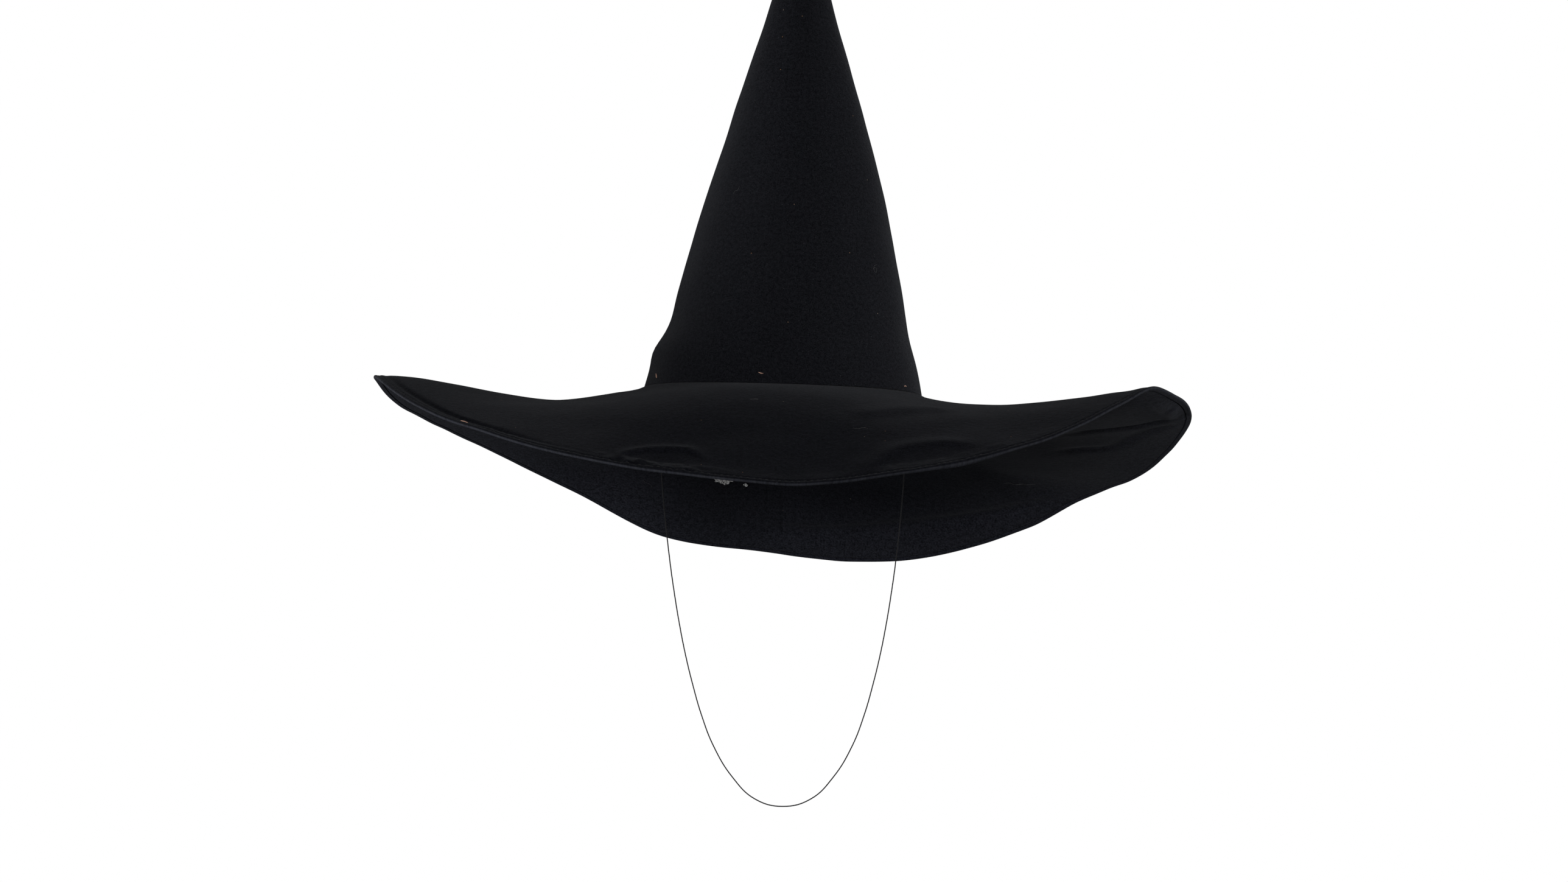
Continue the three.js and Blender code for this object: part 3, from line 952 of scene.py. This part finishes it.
def hem_stitching():
    """Short running stitches that hold the hem, in the groove near the rim."""
    parts = []
    pitch = 360 / round(TURN * STITCH_LINE / (4.2 * MM))
    half = 0.33 * pitch
    for start in np.arange(0, 360 - pitch / 2, pitch):
        degrees = start + np.linspace(-half, half, 5)
        rise = np.array([-0.25, 0.12, 0.18, 0.12, -0.25]) * MM
        radius = np.full(5, STITCH_LINE)
        depth = CLOTH_TOP + hem_profile(radius, degrees)
        line = place_on_relief(radius, depth + rise, degrees)
        parts.append(tube(line, 0.17 * MM, 6))
    return joined("hem_stitching", parts)


# Trim inside the head opening


def sweatband():
    """Grosgrain ribbon in a closed ring round the opening, a little wavy at its free upper edge."""
    degrees = full_circle(720)[:, None]
    heights = np.linspace(-2, 30, 18) * MM
    edge = np.array([0.0] + [1.0] * 16 + [0.0])
    wave = 0.35 * MM * np.sin(np.radians(degrees) * 11) * smoothstep(heights[None, :], 8 * MM, 30 * MM)
    outside = crown_radius(heights)[None, :] - SWEATBAND_DEPTH - 0.4 * MM - 0.25 * MM * (1 - edge) + wave
    inside = outside - (0.3 * MM + 0.5 * MM * edge[None, :])
    radius = np.concatenate([outside, inside[:, ::-1]], axis=1)
    height = np.concatenate([heights, heights[::-1]])[None, :] + 0 * degrees
    points = place_on_crown(radius, height, degrees + 0 * radius)
    faces = grid_faces(*radius.shape, True, True)
    return build_object("sweatband_ribbon", points, faces, ring_cut(degrees + 0 * radius, radius))


def overhand_knot(name, side):
    """The knot at the cord's end: one overhand turn, pulled tight, with a short tail."""
    t = np.linspace(0, TURN, 90, endpoint=False)
    x = np.sin(t) + 2 * np.sin(2 * t)
    y = np.cos(t) - 2 * np.cos(2 * t)
    z = -1.1 * np.sin(3 * t)
    loop = np.stack([z * 0.42, x * 0.42, y * 0.42], axis=1) * MM
    centre = np.array([side * KNOT_REACH, 0, KNOT_HEIGHT])
    tail = np.array([(0, 0, 1.0), (0.1 * side, 0.2, 2.1), (0.3 * side, 0.3, 3.2)]) * MM
    lead = np.array([(0, 0, -0.8), (0, 0, -1.7), (0, 0, -2.4)]) * MM
    parts = [
        tube(loop + centre, CORD_RADIUS, 10, closed=True),
        tube(curve_through(tail, 8) + centre, CORD_RADIUS * 0.95, 10),
        tube(curve_through(lead, 6) + centre, CORD_RADIUS, 10),
    ]
    return joined(name, parts)


def bar_tack(name, node):
    """A bar of thread passes, sewn over the tail of the cord."""
    low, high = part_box(node)
    middle = (low + high) / 2
    half = (high - low) / 2
    parts = []
    for i in range(6):
        share = (i + 0.5) / 6 * 2 - 1
        bow = np.array([-0.5, 0.35, 0.6, 0.35, -0.5])
        y = np.linspace(-1, 1, 5) * half.y
        x = middle.x + bow * half.x * 0.5
        z = middle.z + share * half.z + 0 * y
        line = np.stack([x, middle.y + y, z], axis=1)
        parts.append(tube(curve_through(line, 13), 0.13 * MM, 6))
    return joined(name, parts)


# Lint: what each fibre lies on, its route as (angle, height or width) points and its radius in mm.

LOOSE_FIBRES = {
    "thread_end_left": ("crown", [(205.6, 5.5), (204.6, 7), (203.6, 8.6)], 0.42),
    "thread_end_front": ("crown", [(259.8, 8.4), (260.8, 7.8), (261.8, 7.6)], 0.36),
    "thread_end_right": ("crown", [(328.8, 4.6), (329.8, 5), (330.6, 4.6)], 0.36),
    "hem_thread_end": ("top", [(221.5, 181.6), (222.1, 181), (222.9, 181.4)], 0.3),
}
FINE_FIBRES = {
    "crown_curl": (
        "crown",
        [(317, 79), (318.4, 80.6), (320, 79.8), (319.4, 77.6), (318, 78.2), (318.4, 81.5), (321, 83)],
        0.09,
    ),
    "left_fibre": ("crown", [(228, 131), (229, 133), (231, 133.6), (231.8, 136)], 0.08),
    "brim_curl": (
        "top",
        [(262, 60), (262.8, 61.4), (264, 60.6), (263.8, 59), (262.8, 59.4), (262.4, 62)],
        0.08,
    ),
    "brim_fibre": ("top", [(283, 108), (283.8, 110), (284.8, 109), (285.6, 111)], 0.08),
    "wavy_fibre": ("under", [(41, 126), (40.2, 129), (40, 133), (38.8, 136), (38.6, 139), (37, 142)], 0.11),
    "under_fibre": ("under", [(118, 132), (117.4, 134), (116.4, 133.6), (115.8, 136)], 0.09),
}
FLAKES = [{"at": (103.2, 103), "half_size": (8.5, 7.5)}, {"at": (98.2, 108), "half_size": (2.4, 2)}]
CLOTH_TOUCH = 0.14 * MM


def on_cloth(surface, degrees, distance, lift):
    """Points on the cloth: at a height on the crown, or at a width on the brim's top or underside."""
    if surface == "crown":
        radius = crown_radius(distance) + crown_relief(degrees, distance) + lift
        return place_on_crown(radius, distance, degrees)
    if surface == "top":
        return place_on_relief(FOOT_RADIUS + distance, CLOTH_TOP + lift, degrees)
    return place_on_relief(FOOT_RADIUS + distance, -CLOTH_BOTTOM - UNDER_CLOTH - lift, degrees)


def loose_fibres(name, fibres):
    """Ends of thread or fibres of lint that cling to the cloth."""
    parts = []
    for surface, route, radius in fibres.values():
        line = curve_through(route, 10 * len(route))
        lift = (CLOTH_TOUCH + radius * MM) * np.ones(len(line))
        points = on_cloth(surface, line[:, 0], line[:, 1] * MM, lift)
        ends = np.sin(np.linspace(0.25, math.pi - 0.25, len(line))) ** 0.5
        parts.append(tube(points, radius * MM * ends, 6))
    return joined(name, parts)


def flake(at, half_size):
    """A crumpled scrap of thin sheet, as its points and faces."""
    across, out = np.meshgrid(np.linspace(-1, 1, 61), np.linspace(-1, 1, 45), indexing="ij")
    disc = np.stack([across * np.sqrt(1 - out**2 / 2), out * np.sqrt(1 - across**2 / 2)], axis=-1)
    flat = disc * np.array(half_size) * MM
    edge = 0.85 + 0.35 * noise_at(flat + 1, 3 * MM, 4.4)
    degrees = at[0] + np.degrees(flat[..., 0] * edge / (FOOT_RADIUS + at[1] * MM))
    width = at[1] * MM + flat[..., 1] * edge
    crumple = 0.75 * MM + 0.6 * MM * noise_at(flat, 1.3 * MM, 7.7)
    sides = [on_cloth("under", degrees, width, crumple + deep) for deep in (0.0, 0.12 * MM)]
    rows, columns = across.shape
    points = np.concatenate([side.reshape(-1, 3) for side in sides])
    low = grid_faces(rows, columns, False, False)
    faces = low + [[i + rows * columns for i in face[::-1]] for face in low]
    rim = [i * columns for i in range(rows)] + [(rows - 1) * columns + j for j in range(1, columns)]
    rim += [i * columns + columns - 1 for i in range(rows - 2, -1, -1)] + list(range(columns - 2, 0, -1))
    for start, after in zip(rim, rim[1:] + rim[:1]):
        faces.append([start, after, after + rows * columns, start + rows * columns])
    return points, faces


# Lights and floor

FLOOR_HEIGHT = -0.62
FLOOR_SIZE = 14
FLOOR_GLOW = 0.4
FRONT_LIGHT = 0.8
BACKDROP_LIGHT = 0.85
LEFT_LIGHT = 1.3
RIGHT_LIGHT = 0.6
# How bright the studio is from straight down, 0, to straight up, 1.
HEIGHT_LIGHT = [(0, 0.05), (0.44, 0.1), (0.5, 0.8), (0.52, 1), (0.57, 0.85), (0.72, 0.28), (1, 0.15)]

# Each lamp: where it is, the point that it faces, its width in metres and its power in watts.
LAMPS = {
    "left_key": ((-1.05, -0.4, -0.36), (-0.1, 0, 0), 0.5, 13),
    "right_key": ((2.5, 0.1, 0.22), (0, 0, 0), 1.2, 46),
    "front_low": ((0.2, -3, 0.03), (0, 0, -0.05), 0.4, 38),
}


def floor_material():
    material, tree, shader = new_material("floor")
    place = object_place(tree)
    tone = noise_node(tree, place, 1.5, 3)
    pale = mix_color(tree, tone, *COLORS["floor"])
    tree.links.new(pale, shader.inputs["Base Color"])
    set_inputs(shader, Roughness=0.9, Specular_IOR_Level=0.1)
    set_inputs(shader, Emission_Color=(1, 1, 1, 1), Emission_Strength=FLOOR_GLOW)
    facing = add_node(tree, "NewGeometry").outputs["Backfacing"]
    clear = add_node(tree, "BsdfTransparent").outputs[0]
    both = add_node(tree, "MixShader", Fac=facing, input_1=shader.outputs[0], input_2=clear)
    tree.links.new(both.outputs[0], tree.nodes["Material Output"].inputs["Surface"])
    return material


def add_floor():
    half = FLOOR_SIZE / 2
    corners = np.array([(-half, -half, 0), (half, -half, 0), (half, half, 0), (-half, half, 0)])
    floor = build_object("floor", corners, [[0, 1, 2, 3]])
    floor.location.z = FLOOR_HEIGHT
    floor.data.materials.append(floor_material())
    floor.visible_diffuse = False
    floor.visible_glossy = False


def add_world():
    """A studio that is bright level with the hat, most of all on the left, and dim above and below."""
    world = bpy.data.worlds.new("studio")
    bpy.context.scene.world = world
    world.use_nodes = True
    tree = world.node_tree
    place = add_node(tree, "TexCoord").outputs["Generated"]
    split = add_node(tree, "SeparateXYZ", Vector=place)
    ahead = ramp_value(tree, split.outputs[1], -0.9, 0.9, FRONT_LIGHT, BACKDROP_LIGHT)
    left = ramp_value(tree, split.outputs[0], -0.35, -0.95, 0, LEFT_LIGHT)
    right = ramp_value(tree, split.outputs[0], 0.35, 0.95, 0, RIGHT_LIGHT)
    sideways = calc(tree, "ADD", left, right)
    level = add_node(tree, "ValToRGB", Fac=ramp_value(tree, split.outputs[2], -1, 1))
    stops = level.color_ramp.elements
    for share, _ in HEIGHT_LIGHT[1:-1]:
        stops.new(share)
    for stop, (share, tone) in zip(stops, HEIGHT_LIGHT):
        stop.position = share
        stop.color = (tone, tone, tone, 1)
    light = times(tree, calc(tree, "ADD", ahead, sideways), level.outputs[0])
    seen = add_node(tree, "LightPath").outputs["Is Camera Ray"]
    sky = tree.nodes["Background"]
    set_inputs(sky, Color=(1, 1, 1, 1))
    tree.links.new(calc(tree, "MAXIMUM", light, seen), sky.inputs["Strength"])


def add_light(name, place, aim, size, power):
    data = bpy.data.lights.new(name, "AREA")
    data.shape = "DISK"
    data.size = size
    data.energy = power
    lamp = new_object(name, data)
    lamp.location = place
    lamp.visible_camera = False
    lamp.rotation_euler = (Vector(aim) - Vector(place)).to_track_quat("-Z", "Y").to_euler()


def add_lights():
    add_world()
    for name, lamp in LAMPS.items():
        add_light(name, *lamp)


def build():
    add_camera()
    bpy.context.scene.view_settings.view_transform = "Standard"
    elastic = braided_elastic()
    add_chin_cord(elastic)
    crown_wool = wool("crown_wool", 0.04, 0.75 * MM)
    brim_wool = wool("brim_wool", 0.022, 1.2 * MM, pale_rim, hem_puckers)
    under_wool = wool("under_wool", 0.02, 1.2 * MM, paler_outside)
    buckram = plain_weave("buckram", 1.2 * MM, 0.9, 0.2, 0.3 * MM)
    satin = plain_weave("satin", 0.35 * MM, 0.45, 0.4, 0.05 * MM)
    steel = drawn_steel()
    black_thread = thread("black_thread")
    cloth = crown_shell(
        "crown_wool_cone", 480, 0, CROWN_CLOTH, RESTING_FOOT, 3.6 * MM, CROWN_SEAM_DEPTH, lifted=True
    )
    finish_piece(cloth, "crown_cloth", crown_wool, "crown_cloth")
    base = crown_shell("crown_buckram", 120, FOUNDATION_DEPTH, CROWN_BUCKRAM, FOUNDATION_FOOT, 9 * MM)
    finish_piece(base, "buckram", buckram, "crown_foundation")
    lining = crown_shell("crown_satin_lining", 240, LINING_DEPTH, CROWN_LINING, RESTING_FOOT, 6 * MM)
    finish_piece(lining, "lining", satin, "crown_lining")
    finish_piece(headline_wire(), "wire", steel, "headline_wire")
    finish_piece(top_cloth(), "brim_cloth", brim_wool, "brim_top_cloth")
    stiffener = flat_layer(
        "brim_buckram", 720, -BRIM_BUCKRAM / 2, BRIM_BUCKRAM / 2, WIRE_RING - EDGE_WIRE_RADIUS - GAP
    )
    finish_piece(stiffener, "buckram", buckram, "brim_stiffener")
    under = flat_layer(
        "brim_under_wool", 900, -CLOTH_BOTTOM - UNDER_CLOTH, -CLOTH_BOTTOM, HEM_END - GAP, 0.2 * MM
    )
    finish_piece(under, "under_cloth", under_wool, "brim_under_cloth")
    finish_piece(edge_wire(), "wire", steel, "brim_edge_wire")
    finish_piece(wire_joiner(), "wire", steel, "edge_wire_joiner")
    finish_piece(hem_stitching(), "thread", black_thread)
    finish_piece(sweatband(), "sweatband", grosgrain(), "sweatband")
    thread_ends = loose_fibres("thread_ends", LOOSE_FIBRES)
    finish_piece(thread_ends, "thread", thread("pink_thread"))
    lint_fibres = loose_fibres("lint_fibres", FINE_FIBRES)
    finish_piece(lint_fibres, "thread", thread("lint"))
    scraps = joined("crumpled_flakes", [flake(**scrap) for scrap in FLAKES])
    finish_piece(scraps, "thread", thread("pale_flake"))
    for side, name in ((-1, "left"), (1, "right")):
        knot = overhand_knot(f"elastic_knot_{name}", side)
        finish_piece(knot, "elastic", elastic, f"cord_knot_{name}")
        tack = bar_tack(f"bar_tack_{name}", f"knot_tack_{name}")
        finish_piece(tack, "thread", black_thread, f"knot_tack_{name}")
    add_floor()
    add_lights()


build()
